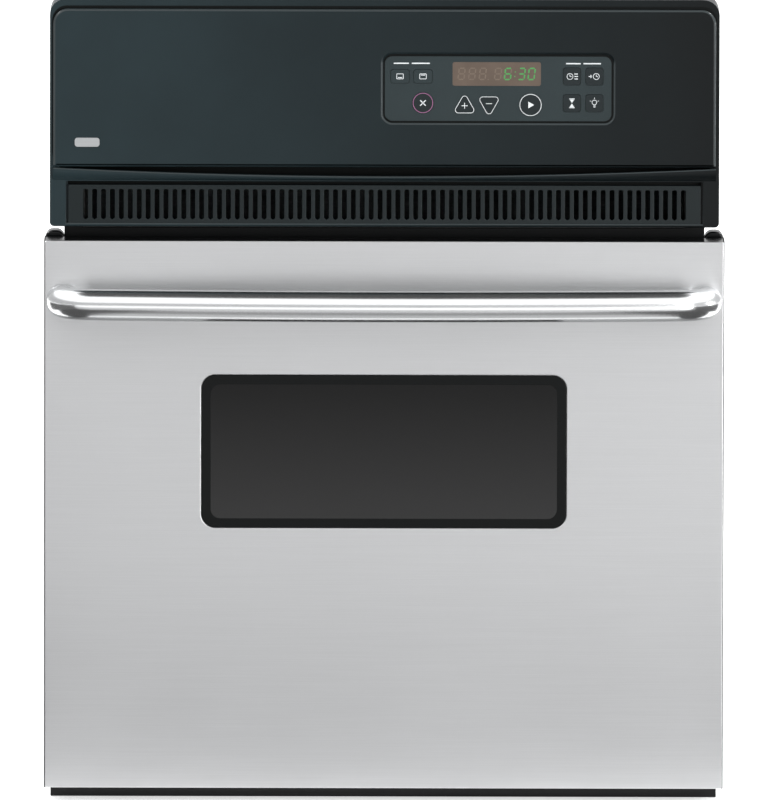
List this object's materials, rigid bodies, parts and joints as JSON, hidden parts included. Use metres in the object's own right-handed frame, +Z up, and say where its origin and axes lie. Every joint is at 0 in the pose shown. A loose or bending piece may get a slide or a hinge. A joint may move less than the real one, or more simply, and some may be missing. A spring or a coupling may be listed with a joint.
{
  "type": "wall oven",
  "caption": "Built-in single electric wall oven: black control panel over a vent grille, brushed steel door with a tinted window and a bowed bar handle that drops down.",
  "frame": {"origin": "centre of the body's flat underside, where it rests on the cabinet shelf", "axes": "+Z up, the door faces -Y, +X to the right seen from the front"},
  "size_m": [0.6048, 0.6892, 0.7175],
  "materials": {
    "galvanised_sheet": "galvanised, dull",
    "frame_enamel": "baked enamel",
    "black_trim": "gloss black paint",
    "cavity_enamel": "porcelain enamel with fine speckle",
    "glass_wool": "matted fibre",
    "element_sheath": "oxidised alloy tube",
    "bright_wire": "bright nickel plate",
    "lamp_ceramic": "unglazed",
    "lamp_glass": "clear",
    "bulb_glass": "frosted",
    "gasket_braid": "woven glass fibre",
    "motor_black": "satin",
    "terminal_plastic": "matt moulded",
    "panel_black": "satin, fine texture",
    "grille_black": "moulded, satin",
    "overlay_film": "satin printed film",
    "key_film": "satin printed film",
    "display_filter": "smoked filter",
    "display_black": "matt moulded",
    "board_green": "solder mask",
    "nameplate_metal": "brushed",
    "stainless_skin": "fine horizontal grain",
    "stainless_bar": "polished along its length",
    "window_tint": "tinted with a black printed border",
    "hinge_steel": "zinc plated",
    "spring_steel": "oil tempered",
    "screw_zinc": "zinc plated"
  },
  "bodies": {
    "oven": {"base_pan": "galvanised_sheet", "left_side_panel": "galvanised_sheet", "right_side_panel": "galvanised_sheet", "rear_panel": "galvanised_sheet", "top_cover": "galvanised_sheet", "front_frame": "frame_enamel", "left_side_trim": "black_trim", "right_side_trim": "black_trim", "bottom_trim": "black_trim", "oven_liner": "cavity_enamel", "insulation_blanket": "glass_wool", "bake_element": "element_sheath", "broil_element": "element_sheath", "temperature_sensor": "bright_wire", "lamp_holder": "lamp_ceramic", "lamp_bulb": "bulb_glass", "lamp_glass": "lamp_glass", "rack_guides": "bright_wire", "door_gasket": "gasket_braid", "vent_tube": "galvanised_sheet", "air_duct": "galvanised_sheet", "blower_housing": "galvanised_sheet", "blower_motor": "motor_black", "junction_box": "galvanised_sheet", "terminal_block": "terminal_plastic", "control_panel": "panel_black", "vent_grille": "grille_black", "control_overlay": "overlay_film", "display_window": "display_filter", "display_module": "display_black", "control_board": "board_green", "control_bracket": "galvanised_sheet", "nameplate": "nameplate_metal", "hinge_arms": "hinge_steel", "body_screws": "screw_zinc"},
    "door": {"door_skin": "stainless_skin", "door_top_cap": "black_trim", "window_glass": "window_tint", "window_pack": "hinge_steel", "door_insulation": "glass_wool", "door_liner": "cavity_enamel", "door_screws": "screw_zinc", "door_handle": "stainless_bar", "hinge_channels": "hinge_steel", "hinge_springs": "spring_steel"},
    "spring_rods": {"spring_rods": "hinge_steel"},
    "lower_rack": {"lower_rack": "bright_wire"},
    "upper_rack": {"upper_rack": "bright_wire"},
    "blower_wheel": {"blower_wheel": "galvanised_sheet"},
    "lamp_bail": {"lamp_bail": "bright_wire"},
    "key_bake": {"key_bake": "key_film"},
    "key_broil": {"key_broil": "key_film"},
    "key_clear": {"key_clear": "key_film"},
    "key_up": {"key_up": "key_film"},
    "key_down": {"key_down": "key_film"},
    "key_start": {"key_start": "key_film"},
    "key_cook_time": {"key_cook_time": "key_film"},
    "key_delay_start": {"key_delay_start": "key_film"},
    "key_timer": {"key_timer": "key_film"},
    "key_light": {"key_light": "key_film"}
  },
  "joints": [
    {"name": "door_hinge", "type": "hinge", "parent": "oven", "child": "door", "pos_m": [0, -0.32, 0.015], "axis": [1, 0, 0], "range_deg": [0, 88], "stiffness_Nm_per_rad": 8, "springref_deg": -20.05},
    {"name": "spring_rod_slide", "type": "slide", "parent": "door", "child": "spring_rods", "axis": [0, 0, 1], "range_m": [0, 0.008], "deforming": ["hinge_springs"]},
    {"name": "lower_rack_slide", "type": "slide", "parent": "oven", "child": "lower_rack", "axis": [0, -1, 0], "range_m": [0, 0.2]},
    {"name": "upper_rack_slide", "type": "slide", "parent": "oven", "child": "upper_rack", "axis": [0, -1, 0], "range_m": [0, 0.2]},
    {"name": "blower_spin", "type": "hinge", "parent": "oven", "child": "blower_wheel", "pos_m": [0, 0.15, 0.57], "axis": [0, 0, 1], "continuous": true},
    {"name": "lamp_bail_swing", "type": "hinge", "parent": "oven", "child": "lamp_bail", "pos_m": [0.14, 0.1728, 0.375], "axis": [-1, 0, 0], "range_deg": [0, 75]},
    {"name": "key_bake_press", "type": "slide", "parent": "oven", "child": "key_bake", "axis": [0, 1, 0], "range_m": [0, 0.0005], "stiffness_N_per_m": 400},
    {"name": "key_broil_press", "type": "slide", "parent": "oven", "child": "key_broil", "axis": [0, 1, 0], "range_m": [0, 0.0005], "stiffness_N_per_m": 400},
    {"name": "key_clear_press", "type": "slide", "parent": "oven", "child": "key_clear", "axis": [0, 1, 0], "range_m": [0, 0.0005], "stiffness_N_per_m": 400},
    {"name": "key_up_press", "type": "slide", "parent": "oven", "child": "key_up", "axis": [0, 1, 0], "range_m": [0, 0.0005], "stiffness_N_per_m": 400},
    {"name": "key_down_press", "type": "slide", "parent": "oven", "child": "key_down", "axis": [0, 1, 0], "range_m": [0, 0.0005], "stiffness_N_per_m": 400},
    {"name": "key_start_press", "type": "slide", "parent": "oven", "child": "key_start", "axis": [0, 1, 0], "range_m": [0, 0.0005], "stiffness_N_per_m": 400},
    {"name": "key_cook_time_press", "type": "slide", "parent": "oven", "child": "key_cook_time", "axis": [0, 1, 0], "range_m": [0, 0.0005], "stiffness_N_per_m": 400},
    {"name": "key_delay_start_press", "type": "slide", "parent": "oven", "child": "key_delay_start", "axis": [0, 1, 0], "range_m": [0, 0.0005], "stiffness_N_per_m": 400},
    {"name": "key_timer_press", "type": "slide", "parent": "oven", "child": "key_timer", "axis": [0, 1, 0], "range_m": [0, 0.0005], "stiffness_N_per_m": 400},
    {"name": "key_light_press", "type": "slide", "parent": "oven", "child": "key_light", "axis": [0, 1, 0], "range_m": [0, 0.0005], "stiffness_N_per_m": 400}
  ],
  "couplings": [
    {"joint": "spring_rod_slide", "follows": "door_hinge", "m_per_rad": 0.0052},
    {"joint": "lower_rack_slide", "follows": "door_hinge", "m_per_rad": 0.13},
    {"joint": "upper_rack_slide", "follows": "door_hinge", "m_per_rad": 0.13}
  ]
}
